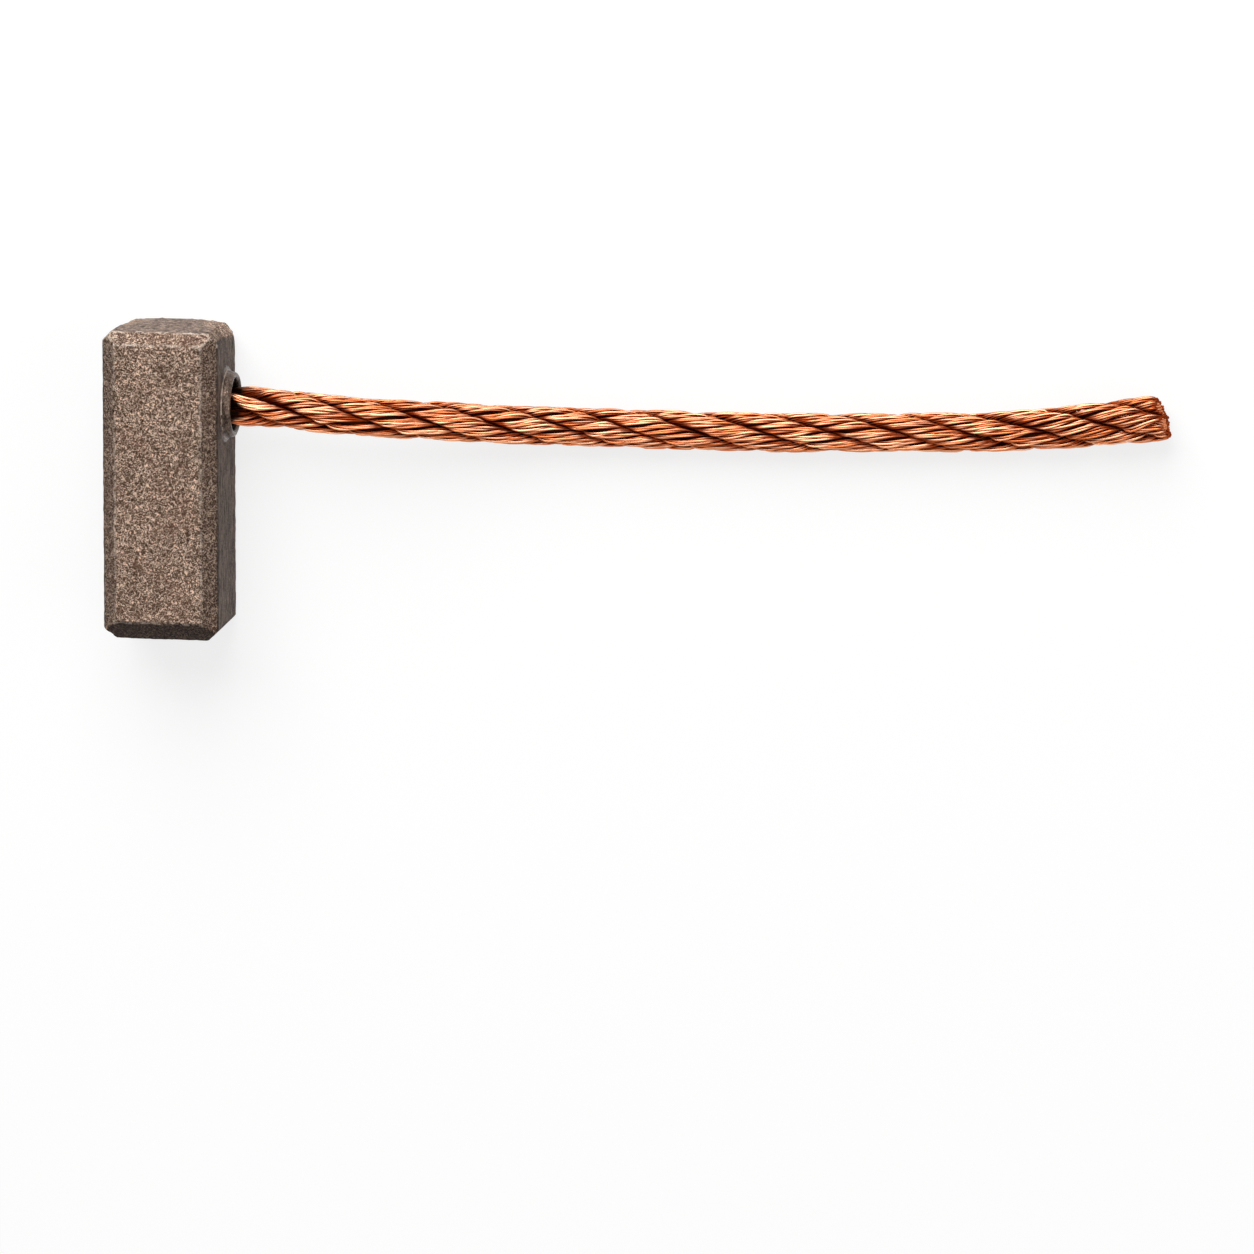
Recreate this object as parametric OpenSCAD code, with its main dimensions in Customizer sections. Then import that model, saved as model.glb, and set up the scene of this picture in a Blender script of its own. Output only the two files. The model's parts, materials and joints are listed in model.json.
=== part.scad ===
// Carbon brush: a pressed metal-graphite block with a stranded copper shunt rammed into its side.
// The brush lies on its back face, as it does on a bench.
// +X is the way the shunt leaves the block, +Y runs along the block from the contact end to the
// spring end, and +Z is up. The origin is the middle of the face that the block lies on.

/* [Brush block] */
// Width of the block, along the shunt hole
block_w = 12; // [11:0.5:20]
// Length of the block, from the contact end to the spring end
block_len = 32; // [28:1:60]
// Thickness of the block, from the face it lies on to the face on top
block_t = 12; // [11.5:0.5:20]
// Chamfer along the four long edges
long_chamfer = 1.5; // [0.5:0.1:2]
// Chamfer of the spring end towards the two broad faces
spring_chamfer = 1.2; // [0.5:0.1:2.5]
// Chamfer of the spring end towards the sides
spring_side_chamfer = 1; // [0.5:0.1:2.5]
// Chamfer of the contact end towards the two broad faces
contact_chamfer = 2; // [0.5:0.1:3]
// Chamfer of the contact end towards the sides
contact_side_chamfer = 1.2; // [0.5:0.1:2]

/* [Shunt hole] */
// Distance from the spring end to the axis of the hole
hole_from_end = 8; // [7:0.5:12]
// Diameter of the hole
hole_d = 5.4; // [5.2:0.1:6]
// Solid left between the point of the hole and the far side of the block
back_wall = 2.4; // [1:0.1:4]
// Included angle of the hole's point
point_angle = 118; // [90:1:140]
// Number of keying grooves in the wall of the hole
groove_count = 3; // [1:1:4]
// Width of a keying groove at its mouth
groove_w = 0.6; // [0.3:0.1:0.8]
// Depth of a keying groove
groove_depth = 0.25; // [0.1:0.05:0.4]

/* [Collar] */
// Height of the collar that stands round the mouth of the hole
collar_h = 1; // [0.5:0.1:2]
// Width of the rim between the mouth and the outside of the collar
rim_w = 0.6; // [0.55:0.05:0.8]
// How much further out the collar's flank ends than it leaves the rim
flank_run = 0.2; // [0.1:0.05:0.3]
// Rounding of the rim's outer edge
rim_round = 0.3; // [0.1:0.05:0.35]
// Bevel of the mouth's inner edge
mouth_bevel = 0.2; // [0.05:0.05:0.25]
// Height of the low ledge that the punch leaves round the collar's flank
ledge_h = 0.2; // [0.15:0.05:0.4]
// Width of that ledge
ledge_w = 0.15; // [0.1:0.05:0.3]
// Radius of the fillet between the ledge and the block
foot_fillet = 0.1; // [0.05:0.05:0.15]

/* [Tamping plug] */
// Depth of the plug's face below the side of the block
plug_recess = 2.2; // [1:0.1:3]
// How far the rammed face of the plug dips towards the shunt
plug_dish = 0.4; // [0.1:0.1:0.8]
// Powder left between the end of the shunt and the full diameter's end
root_gap = 0.8; // [0.3:0.1:1.5]

/* [Shunt] */
// Diameter of the stranded shunt, across the flats of its tube
shunt_d = 3.9; // [3:0.1:4.2]

/* [Hidden] */

block_colour = [0.53, 0.44, 0.38];
plug_colour = [0.45, 0.27, 0.18];
shunt_colour = [0.85, 0.48, 0.28];

$fn = 96;
corner_steps = 6;   // straight steps in each rounded corner of a profile
overrun = 1;        // how far a cutter or a root runs past the surface it meets

// The hole, measured from the block's side: depths are negative, heights positive
hole_r = hole_d / 2;
point_h = hole_r / tan(point_angle / 2);
hole_depth = block_w - back_wall - point_h;
hole_y = block_len / 2 - hole_from_end;
hole_z = block_t / 2;
groove_pitch = (hole_depth - plug_recess) / (groove_count + 1);

// The collar's radii, from the mouth outwards
rim_r = hole_r + rim_w;
flank_foot_r = rim_r + flank_run;
ledge_r = flank_foot_r + ledge_w;
foot_r = ledge_r + 2 * foot_fillet;

// The shunt's tube: eight flats, one of them down, at the shunt's own radius
shunt_sides = 8;
shunt_r = shunt_d / 2;
shunt_corner_r = shunt_r / cos(180 / shunt_sides);
root_depth = hole_depth - root_gap;

// The shunt's route. Each point is the distance from the block's side, the offset from the
// hole's axis along Y, and how much of the drop from the hole to the bench is still to come.
route = [
    [-1, 0, 1],
    [1, 0, 1],
    [5, -0.2, 1],
    [10, -0.7, 0.96],
    [16, -1.1, 0.80],
    [22, -1.4, 0.55],
    [28, -1.7, 0.30],
    [34, -1.8, 0.11],
    [40, -1.9, 0.02],
    [46, -1.9, 0],
    [52, -1.9, 0],
    [58, -1.8, 0],
    [64, -1.6, 0],
    [70, -1.4, 0],
    [76, -1.2, 0],
    [82, -0.8, 0],
    [88, -0.3, 0.02],
    [92, 0.2, 0.04],
    [95.7, 0.7, 0.06]
];

// ---- Helpers -------------------------------------------------------------------------------

function unit(v) = v / norm(v);

// The points of an arc of radius r that rounds corner p between its neighbours a and b
function corner_arc(a, p, b, r) =
    let (
        to_a = unit(a - p),
        to_b = unit(b - p),
        half = acos(to_a * to_b) / 2,
        centre = p + unit(to_a + to_b) * r / sin(half),
        from = p + to_a * r / tan(half) - centre,
        to = p + to_b * r / tan(half) - centre,
        start = atan2(from.y, from.x),
        turn = atan2(from.x * to.y - from.y * to.x, from * to)
    )
    [for (i = [0 : corner_steps])
        let (angle = start + turn * i / corner_steps)
        centre + r * [cos(angle), sin(angle)]];

// A rectangle about the origin with its four corners cut at 45 degrees
module cut_rectangle(w, h, cut_low, cut_high) {
    polygon([
        [-w / 2 + cut_low, -h / 2],
        [w / 2 - cut_low, -h / 2],
        [w / 2, -h / 2 + cut_low],
        [w / 2, h / 2 - cut_high],
        [w / 2 - cut_high, h / 2],
        [-w / 2 + cut_high, h / 2],
        [-w / 2, h / 2 - cut_high],
        [-w / 2, -h / 2 + cut_low]
    ]);
}

// Moves a shape drawn round +Z to the mouth of the hole, with +Z pointing out of the block
module at_hole() {
    translate([block_w / 2, hole_y, hole_z]) rotate([0, 90, 0]) children();
}

// ---- The hole and what fills it --------------------------------------------------------------

// One keying groove's wall, from its inner edge to its outer edge, centred at height s
function groove(s) = [
    [hole_r, s - groove_w / 2],
    [hole_r + groove_depth, s - groove_w / 4],
    [hole_r + groove_depth, s + groove_w / 4],
    [hole_r, s + groove_w / 2]
];

// The wall of the hole from its point up to the plug's face: the plug fills the same outline
function keyed_wall() = concat(
    [[0, -hole_depth - point_h], [hole_r, -hole_depth]],
    [for (i = [1 : groove_count]) each groove(-hole_depth + i * groove_pitch)],
    [[hole_r, -plug_recess]]
);

// The empty hole, with its bevelled mouth
module hole_space() {
    rotate_extrude()
        polygon(concat(keyed_wall(), [
            [hole_r, collar_h - mouth_bevel],
            [hole_r + mouth_bevel + overrun, collar_h + overrun],
            [0, collar_h + overrun]
        ]));
}

// The collar: a rim, a leaning flank, a low ledge and a fillet that runs out onto the block
module collar() {
    rim = [rim_r, collar_h];
    flank_foot = [flank_foot_r, ledge_h];
    ledge = [ledge_r, ledge_h];
    rotate_extrude()
        polygon(concat(
            [[0, collar_h]],
            corner_arc([0, collar_h], rim, flank_foot, rim_round),
            [flank_foot, ledge],
            corner_arc(ledge, [ledge_r, 0], [foot_r, 0], foot_fillet),
            [[foot_r, 0], [foot_r, -foot_fillet], [0, -foot_fillet]]
        ));
}

// ---- The shunt's tube ------------------------------------------------------------------------

// The shunt's section, in the plane across it
function section() = [
    for (i = [0 : shunt_sides - 1])
        let (angle = (i + 0.5) * 360 / shunt_sides)
        shunt_corner_r * [cos(angle), sin(angle)]
];

// The centre line in the part's own frame, from the root in the plug to the cut end
function centre_line() = concat(
    [[block_w / 2 - root_depth, hole_y, hole_z]],
    [for (p = route) [
        block_w / 2 + p.x,
        hole_y + p.y,
        shunt_r + p.z * (hole_z - shunt_r)
    ]]
);

// The direction of a line of points at its point i
function heading(line, i) = unit(line[min(i + 1, len(line) - 1)] - line[max(i - 1, 0)]);

// The section set across the line at its point i, with one flat facing down
function ring(line, i) =
    let (
        ahead = heading(line, i),
        side = unit(cross([0, 0, 1], ahead)),
        up = cross(ahead, side)
    )
    [for (q = section()) line[i] + q.x * side + q.y * up];

// A closed tube with the shunt's section along a line of points
module swept_tube(line) {
    rings = len(line);
    last = (rings - 1) * shunt_sides;
    walls = [
        for (i = [0 : rings - 2], j = [0 : shunt_sides - 1])
            let (
                here = i * shunt_sides,
                next = here + shunt_sides,
                k = (j + 1) % shunt_sides
            )
            [here + j, here + k, next + k, next + j]
    ];
    ends = [
        [for (j = [shunt_sides - 1 : -1 : 0]) j],
        [for (j = [0 : shunt_sides - 1]) last + j]
    ];
    polyhedron([for (i = [0 : rings - 1]) each ring(line, i)], concat(walls, ends));
}

// ---- Sub-parts -------------------------------------------------------------------------------

// The pressed block, chamfered on all twelve edges, with the collar and the shunt hole in its side
module brush_block() {
    color(block_colour)
        difference() {
            union() {
                translate([0, 0, block_t / 2]) intersection() {
                    rotate([90, 0, 0])
                        linear_extrude(block_len, center = true)
                            cut_rectangle(block_w, block_t, long_chamfer, long_chamfer);
                    linear_extrude(block_t, center = true)
                        cut_rectangle(block_w, block_len, contact_side_chamfer, spring_side_chamfer);
                    rotate([0, -90, 0])
                        linear_extrude(block_w, center = true)
                            cut_rectangle(block_t, block_len, contact_chamfer, spring_chamfer);
                }
                at_hole() collar();
            }
            at_hole() hole_space();
        }
}

// The rammed copper powder that holds the shunt, keyed into the hole's grooves
module tamping_plug() {
    color(plug_colour)
        at_hole() difference() {
            rotate_extrude()
                polygon(concat(keyed_wall(), [
                    [shunt_corner_r, -plug_recess - plug_dish],
                    [0, -plug_recess - plug_dish]
                ]));
            translate([0, 0, -root_depth])
                linear_extrude(root_depth)
                    polygon(section());
        }
}

// The stranded copper shunt, as a plain tube from its root in the plug to its cut end
module shunt() {
    color(shunt_colour) swept_tube(centre_line());
}

brush_block();
tamping_plug();
shunt();
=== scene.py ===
"""A carbon brush: a pressed copper-graphite block with a stranded shunt rammed into its side.

The brush lies on its back face. +X is the way the shunt leaves the block, +Y runs along the block
to its spring end, and +Z is up. Every length is in metres.
"""

from __future__ import annotations
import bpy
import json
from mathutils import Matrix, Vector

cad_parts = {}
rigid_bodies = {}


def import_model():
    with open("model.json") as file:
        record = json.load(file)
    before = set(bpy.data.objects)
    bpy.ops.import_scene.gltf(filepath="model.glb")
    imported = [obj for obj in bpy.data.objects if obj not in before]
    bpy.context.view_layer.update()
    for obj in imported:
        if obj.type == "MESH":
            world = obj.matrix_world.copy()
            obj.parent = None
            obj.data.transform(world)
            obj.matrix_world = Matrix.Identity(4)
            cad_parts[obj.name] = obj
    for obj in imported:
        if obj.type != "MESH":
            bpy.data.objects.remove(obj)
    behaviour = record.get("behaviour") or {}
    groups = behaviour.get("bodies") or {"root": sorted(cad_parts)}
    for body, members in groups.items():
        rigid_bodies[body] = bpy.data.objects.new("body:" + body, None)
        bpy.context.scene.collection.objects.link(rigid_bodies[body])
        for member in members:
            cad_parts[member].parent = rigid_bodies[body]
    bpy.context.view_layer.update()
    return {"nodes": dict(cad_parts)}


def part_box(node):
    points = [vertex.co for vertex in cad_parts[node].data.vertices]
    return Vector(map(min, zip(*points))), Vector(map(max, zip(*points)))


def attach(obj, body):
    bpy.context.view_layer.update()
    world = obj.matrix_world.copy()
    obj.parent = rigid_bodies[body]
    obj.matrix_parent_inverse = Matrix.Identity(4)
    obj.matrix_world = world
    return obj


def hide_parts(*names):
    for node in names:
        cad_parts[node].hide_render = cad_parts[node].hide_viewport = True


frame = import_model()

import json
import logging
import math
from dataclasses import dataclass
from enum import Enum
from typing import Iterable, Union

import bmesh
import bpy
import numpy as np
from mathutils import Matrix, Vector
from mathutils.kdtree import KDTree

LOG = logging.getLogger("carbon_brush")
ROOT = "root"
SEED = 11
TURN = 2 * math.pi
WHITE = (1.0, 1.0, 1.0, 1.0)


# ---- Shader maths ----------------------------------------------------------------------------


class Signal:
    """One output of a shader's node, which can be written into arithmetic."""

    def __init__(self, shader: "Shader", socket: bpy.types.NodeSocket | None) -> None:
        """Keeps the output and the shader that it belongs to."""
        self.shader = shader
        self.socket = socket

    def _math(self, operation: str, first: "Term", second: "Term" = 0.0) -> "Signal":
        """Adds one Math node.

        Args:
            operation: The Math node's operation.
            first: The first term.
            second: The second term, if the operation has one.

        Returns:
            The node's result.
        """
        return self.shader.node("Math", {"operation": operation}, {0: first, 1: second})

    def __add__(self, other: "Term") -> "Signal":
        """Adds a term."""
        return self._math("ADD", self, other)

    __radd__ = __add__

    def __sub__(self, other: "Term") -> "Signal":
        """Takes a term away."""
        return self._math("SUBTRACT", self, other)

    def __rsub__(self, other: "Term") -> "Signal":
        """Is taken away from a term."""
        return self._math("SUBTRACT", other, self)

    def __mul__(self, other: "Term") -> "Signal":
        """Multiplies by a term."""
        return self._math("MULTIPLY", self, other)

    __rmul__ = __mul__

    def __abs__(self) -> "Signal":
        """Drops the sign."""
        return self._math("ABSOLUTE", self)

    def least(self, other: "Term") -> "Signal":
        """Gives the smaller of two terms."""
        return self._math("MINIMUM", self, other)

    def most(self, other: "Term") -> "Signal":
        """Gives the larger of two terms."""
        return self._math("MAXIMUM", self, other)

    def ease(self, low: float, high: float) -> "Signal":
        """Turns the stretch between two values into a smooth step.

        Args:
            low: The value that becomes 0.
            high: The value that becomes 1. It may be below low.

        Returns:
            The stepped signal, from 0 to 1.
        """
        settings = {"interpolation_type": "SMOOTHSTEP"}
        sockets = {"Value": self, "From Min": low, "From Max": high}
        return self.shader.node("MapRange", settings, sockets)


Term = Union[Signal, float]
Colour = tuple[float, float, float, float]


def srgb(red: int, green: int, blue: int) -> Colour:
    """Gives the linear colour of three display values from 0 to 255.

    Args:
        red: The red value.
        green: The green value.
        blue: The blue value.

    Returns:
        The linear colour, fully opaque.
    """
    linear = [(value / 255 / 12.92) if value < 11 else ((value / 255 + 0.055) / 1.055) ** 2.4
              for value in (red, green, blue)]
    return (linear[0], linear[1], linear[2], 1.0)


class Shader:
    """The node tree of a material or of the room."""

    def __init__(self, owner: bpy.types.Material | bpy.types.World) -> None:
        """Empties the node tree.

        Args:
            owner: What the tree belongs to.
        """
        owner.use_nodes = True
        self.owner = owner
        self.tree = owner.node_tree
        self.tree.nodes.clear()
        self.place = self.node("TexCoord", output="Object")

    @classmethod
    def of(cls, name: str) -> "Shader":
        """Makes a new material's shader.

        Args:
            name: The material's name.

        Returns:
            The shader, with no nodes but the coordinates.
        """
        return cls(bpy.data.materials.new(name))

    def node(
        self,
        kind: str,
        settings: dict[str, object] | None = None,
        inputs: dict[str | int, object] | None = None,
        output: str | int = 0,
    ) -> Signal:
        """Adds one node.

        Args:
            kind: The node's type, without its ShaderNode prefix.
            settings: The node's own settings. "stops" gives a ramp's positions and colours.
            inputs: A value or a signal for each socket that isn't left as it is.
            output: The output to give back.

        Returns:
            The chosen output. The material's own output node has none.
        """
        made = self.tree.nodes.new("ShaderNode" + kind)
        for name, value in (settings or {}).items():
            if name == "stops":
                self._set_stops(made.color_ramp, value)
            else:
                setattr(made, name, value)
        for name, value in (inputs or {}).items():
            if isinstance(value, Signal):
                self.tree.links.new(value.socket, made.inputs[name])
            else:
                made.inputs[name].default_value = value
        return Signal(self, made.outputs[output] if made.outputs else None)

    @staticmethod
    def _set_stops(ramp: bpy.types.ColorRamp, stops: Iterable[tuple[float, Colour]]) -> None:
        """Gives a ramp its stops.

        Args:
            ramp: The ramp, which has two stops to begin with.
            stops: The positions and colours, in rising order.
        """
        for index, (position, colour) in enumerate(stops):
            stop = ramp.elements[index] if index < 2 else ramp.elements.new(position)
            stop.position = position
            stop.color = colour

    def mix(self, factor: Term, first: object, second: object, blend: str = "MIX") -> Signal:
        """Mixes two colours.

        Args:
            factor: The share of the second colour.
            first: The first colour.
            second: The second colour.
            blend: The way they are blended.

        Returns:
            The mixed colour.
        """
        settings = {"data_type": "RGBA", "blend_type": blend}
        return self.node("Mix", settings, {0: factor, 6: first, 7: second}, output=2)

    def stretched(self, scale: tuple[float, float, float]) -> Signal:
        """Gives the object's coordinates stretched along its axes."""
        return self.node("VectorMath", {"operation": "MULTIPLY"}, {0: self.place, 1: scale})

    def noise(
        self,
        grain: float,
        detail: float = 2.0,
        roughness: float = 0.5,
        distortion: float = 0.0,
        place: Signal | None = None,
    ) -> Signal:
        """Adds a noise whose features have a given size.

        Args:
            grain: The size of one feature.
            detail: How many finer layers are added.
            roughness: How strong the finer layers are.
            distortion: How far the features are curled.
            place: The coordinates, or the object's own.

        Returns:
            The noise, mostly from 0.3 to 0.7.
        """
        sockets = {
            "Vector": place or self.place,
            "Scale": 1 / grain,
            "Detail": detail,
            "Roughness": roughness,
            "Distortion": distortion,
        }
        return self.node("TexNoise", None, sockets)

    def worms(self, grain: float, width: float, place: Signal | None = None) -> Signal:
        """Adds curled lines, which run where a noise passes through its middle.

        Args:
            grain: The size of one curl.
            width: How wide the lines are, as a share of the noise's reach.
            place: The coordinates, or the object's own.

        Returns:
            The lines, from 0 between them to 1 along them.
        """
        curled = self.noise(grain, detail=1.0, distortion=0.9, place=place)
        return abs(curled - 0.5).ease(width, 0.0)

    def attribute(self, name: str) -> Signal:
        """Reads one number that the mesh keeps at each point."""
        return self.node("Attribute", {"attribute_name": name}, output="Fac")

    def bump(self, height: Signal, distance: float, strength: float = 1.0) -> Signal:
        """Turns a height into a normal."""
        sockets = {"Height": height, "Distance": distance, "Strength": strength}
        return self.node("Bump", None, sockets)

    def surface(self, **sockets: object) -> bpy.types.Material:
        """Finishes the material with one Principled shader.

        Args:
            sockets: Values or signals, named as the shader's sockets with _ for each space.

        Returns:
            The finished material.
        """
        named = {name.replace("_", " "): value for name, value in sockets.items()}
        shader = self.node("BsdfPrincipled", None, named)
        self.node("OutputMaterial", None, {"Surface": shader})
        return self.owner


# ---- Finishes --------------------------------------------------------------------------------


@dataclass(frozen=True)
class PressedCarbon:
    """Pressed and sintered copper-graphite: curled copper flakes in dark graphite."""

    graphite: Colour = srgb(66, 48, 37)
    powder: Colour = srgb(126, 99, 82)
    flake: Colour = srgb(255, 222, 197)
    rust: Colour = srgb(134, 94, 76)
    ground: Colour = srgb(166, 144, 130)
    ground_dark: Colour = srgb(60, 49, 43)
    worn_highlight_colour: Colour = srgb(246, 224, 206)
    dark_and_shade: Colour = srgb(34, 26, 22)
    painted_shade_colour: Colour = (0.15, 0.13, 0.12, 1.0)
    # The sizes of the pattern's features
    curl: float = 0.00036
    gap: float = 0.00038
    fleck: float = 0.00009
    patch: float = 0.0022
    warmth: float = 0.0034
    streak: float = 0.00022
    score: float = 0.00028
    chip: float = 0.0009
    relief: float = 0.00010
    # How strongly each layer covers what is under it
    rust_share: float = 0.22
    dull_share: float = 0.16
    score_share: float = 0.6
    ground_share: float = 0.94
    bore_shade_share: float = 0.9

    def material(self) -> bpy.types.Material:
        """Builds the block's material.

        Returns:
            The finished material. It reads the mesh's ground, shade, seam, bright, polish and
            bore values. shade darkens each face as the light falls on it, bright
            lightens worn edges and the collar's ledge with painted highlight, and bore is
            painted shade inside the hole.
        """
        shader = Shader.of("pressed_carbon")
        ground, shade, seam, bright, polish, bore = map(
            shader.attribute, ("ground", "shade", "seam", "bright", "polish", "bore")
        )

        lines = shader.worms(self.curl, 0.085)
        gaps = shader.worms(self.gap, 0.07, shader.stretched((1.0, -1.1, 0.9)))
        fleck = shader.noise(self.fleck, detail=1.0, distortion=0.4)
        patches = shader.noise(self.patch, detail=3.0, roughness=0.6, distortion=0.4)
        warm = shader.noise(self.warmth, distortion=0.8)

        grain = 0.43 + lines * 0.74 - gaps * 0.42 + (fleck - 0.5) * 1.6
        grain = grain.least(1.0).most(0.0)
        pressed = shader.node("ValToRGB", {"stops": (
            (0.0, self.graphite),
            (0.5, self.powder),
            (1.0, self.flake),
        )}, {"Fac": grain})
        pressed = shader.mix(warm.ease(0.48, 0.64) * self.rust_share, pressed, self.rust)
        dull = patches.ease(0.56, 0.40) * self.dull_share
        pressed = shader.mix(dull, pressed, self.graphite)

        drawn_out = shader.stretched((0.3, 0.11, 0.46))
        streaks = shader.noise(self.streak, distortion=0.4, place=drawn_out)
        scores = shader.worms(self.score, 0.06, shader.stretched((0.5, 0.05, 0.36)))
        tone = (streaks * 0.8 + grain * 0.2).ease(0.31, 0.64)
        cut = shader.mix(tone, self.ground_dark, self.ground)
        cut = shader.mix(scores * self.score_share, cut, self.dark_and_shade)
        body = shader.mix(ground * self.ground_share, pressed, cut)
        # Painted shade: each face is darkened by how the light falls on it.
        body = shader.mix(shade, body, self.painted_shade_colour, "MULTIPLY")
        body = shader.mix(seam * (0.25 + patches.ease(0.40, 0.56) * 0.50), body, self.dark_and_shade)

        # Worn edges, partly painted highlight: they are lightened most at the lit spring end, and
        # the collar's ledge gets a painted highlight line.
        chips = shader.noise(self.chip, detail=3.0, roughness=0.65, distortion=0.5)
        worn_highlight = bright * chips.ease(0.42, 0.52)
        body = shader.mix(worn_highlight * (0.4 + grain * 0.6), body, self.worn_highlight_colour)
        # Painted shade inside the shunt hole.
        body = shader.mix(bore * self.bore_shade_share, body, self.dark_and_shade)

        relief = grain * (1.0 - ground * 0.6)
        relief = relief + (streaks - scores * 0.5) * ground * 0.6 + patches * 0.4
        relief = relief * (1.0 - polish * 0.75)
        return shader.surface(
            Base_Color=body,
            Metallic=polish * 0.7,
            Roughness=0.72 - grain * 0.12 - polish * 0.36,
            Normal=shader.bump(relief, self.relief),
            Specular_IOR_Level=0.15,
        )


@dataclass(frozen=True)
class RammedPowder:
    """Copper powder tamped hard round the shunt, dull and dark."""

    dark: Colour = srgb(60, 34, 24)
    bright: Colour = srgb(138, 82, 56)
    grain: float = 0.00016
    lump: float = 0.0007
    relief: float = 0.00008

    def material(self) -> bpy.types.Material:
        """Builds the plug's material.

        Returns:
            The finished material.
        """
        shader = Shader.of("rammed_powder")
        grains = shader.noise(self.grain, detail=3.0, roughness=0.65, distortion=0.3)
        lumps = shader.noise(self.lump, distortion=0.2)
        tone = (grains * 0.7 + lumps * 0.3).ease(0.38, 0.64)
        return shader.surface(
            Base_Color=shader.mix(tone, self.dark, self.bright),
            Metallic=0.5,
            Roughness=0.75 - tone * 0.2,
            Normal=shader.bump(grains + lumps, self.relief),
        )


@dataclass(frozen=True)
class CopperWire:
    """Bare copper wire, a little tarnished, with painted shade below its crowns and in the lay."""

    bright: Colour = (0.93, 0.47, 0.27, 1.0)
    warm: Colour = (0.60, 0.17, 0.06, 1.0)
    tarnish_and_shade: Colour = (0.22, 0.034, 0.008, 1.0)
    grazed: Colour = (0.85, 0.46, 0.28, 1.0)
    dark_and_shade: Colour = (0.012, 0.005, 0.003, 1.0)
    blotch: float = 0.0011
    drawn: float = 0.00009
    relief: float = 0.00001

    def material(self) -> bpy.types.Material:
        """Builds the wires' material.

        Returns:
            The finished material. It reads the mesh's tone, depth and dust values: depth
            carries tarnish and painted shade, and dust painted black shade.
        """
        shader = Shader.of("copper_wire")
        tone, depth, dust = map(shader.attribute, ("tone", "depth", "dust"))
        blotch = shader.noise(self.blotch, detail=3.0, roughness=0.6, distortion=0.3)
        drawn = shader.noise(self.drawn, place=shader.stretched((0.12, 1.0, 1.0)))
        shine = (tone * 0.7 + blotch * 0.6 - 0.2).ease(0.1, 0.8)
        colour = shader.mix(shine, self.warm, self.bright)
        # Tarnish and painted shade: darker deeper below the crowns, in the groove between the
        # strands and near the cut.
        colour = shader.mix((depth * (0.7 + blotch * 0.6)).least(1.0), colour, self.tarnish_and_shade)
        # Painted black shade where the wires go into the block's mouth, and on the heart.
        colour = shader.mix(dust, colour, self.dark_and_shade)
        return shader.surface(
            Base_Color=colour,
            Specular_Tint=self.grazed,
            Metallic=1.0,
            Roughness=0.19 + blotch * 0.14 + depth * 0.2 + dust * 0.3,
            Normal=shader.bump(drawn, self.relief, 0.5),
        )


# ---- Mesh work -------------------------------------------------------------------------------


def take(piece: bpy.types.Object) -> None:
    """Makes a piece the only selected object, and the active one.

    Args:
        piece: The piece.
    """
    for other in bpy.context.view_layer.objects:
        other.select_set(False)
    piece.select_set(True)
    bpy.context.view_layer.objects.active = piece


def finish_with(piece: bpy.types.Object, kind: str, **settings: object) -> None:
    """Adds a modifier to a piece and applies it.

    Args:
        piece: The piece.
        kind: The modifier's type.
        settings: The modifier's settings.
    """
    take(piece)
    modifier = piece.modifiers.new(kind.lower(), kind)
    for name, value in settings.items():
        setattr(modifier, name, value)
    bpy.ops.object.modifier_apply(modifier=modifier.name)


def merged_copy(node: str, name: str) -> bpy.types.Object:
    """Copies a CAD node's mesh into a new piece and merges it into flat faces.

    Args:
        node: The CAD node's name.
        name: The new piece's name.

    Returns:
        The new piece, with a mesh of its own.
    """
    source = frame["nodes"][node]
    piece = bpy.data.objects.new(name, source.data.copy())
    bpy.context.scene.collection.objects.link(piece)
    piece.data.materials.clear()
    take(piece)
    bpy.ops.object.mode_set(mode="EDIT")
    bpy.ops.mesh.select_all(action="SELECT")
    bpy.ops.mesh.remove_doubles(threshold=1e-7)
    bpy.ops.mesh.customdata_custom_splitnormals_clear()
    bpy.ops.mesh.dissolve_limited(angle_limit=math.radians(0.5))
    bpy.ops.object.mode_set(mode="OBJECT")
    return piece


def points_of(piece: bpy.types.Object) -> np.ndarray:
    """Reads the places of a mesh's points.

    Args:
        piece: The piece.

    Returns:
        The places, one row each.
    """
    places = np.empty(len(piece.data.vertices) * 3)
    piece.data.vertices.foreach_get("co", places)
    return places.reshape(-1, 3)


def keep_value(piece: bpy.types.Object, name: str, values: np.ndarray) -> None:
    """Keeps one number at each point of a mesh, for a material to read."""
    attribute = piece.data.attributes.new(name, "FLOAT", "POINT")
    attribute.data.foreach_set("value", values.astype(np.float32).ravel())


def keep_group(piece: bpy.types.Object, name: str, values: np.ndarray) -> None:
    """Keeps one weight at each point of a mesh, for a modifier to read.

    Args:
        piece: The piece.
        name: The vertex group's name.
        values: The weights, from 0 to 1. They are kept in tenths.
    """
    group = piece.vertex_groups.new(name=name)
    for step in range(1, 11):
        chosen = np.flatnonzero(np.round(values * 10) == step)
        group.add([int(index) for index in chosen], step / 10, "REPLACE")


def clouds(
    name: str, size: float, contrast: float = 1.0, level: float = 1.0
) -> bpy.types.Texture:
    """Makes a cloud texture with three finer layers, for a Displace modifier.

    Args:
        name: The texture's name.
        size: The size of one cloud.
        contrast: How hard the clouds' edges are.
        level: How bright the clouds are.

    Returns:
        The texture.
    """
    texture = bpy.data.textures.new(name, "CLOUDS")
    texture.noise_scale = size
    texture.noise_depth = 3
    texture.contrast = contrast
    texture.intensity = level
    return texture


def ease(values: np.ndarray, low: float, high: float) -> np.ndarray:
    """Turns the stretch between two values into a smooth step from 0 to 1."""
    share = np.clip((values - low) / (high - low), 0.0, 1.0)
    return share * share * (3 - 2 * share)


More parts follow.
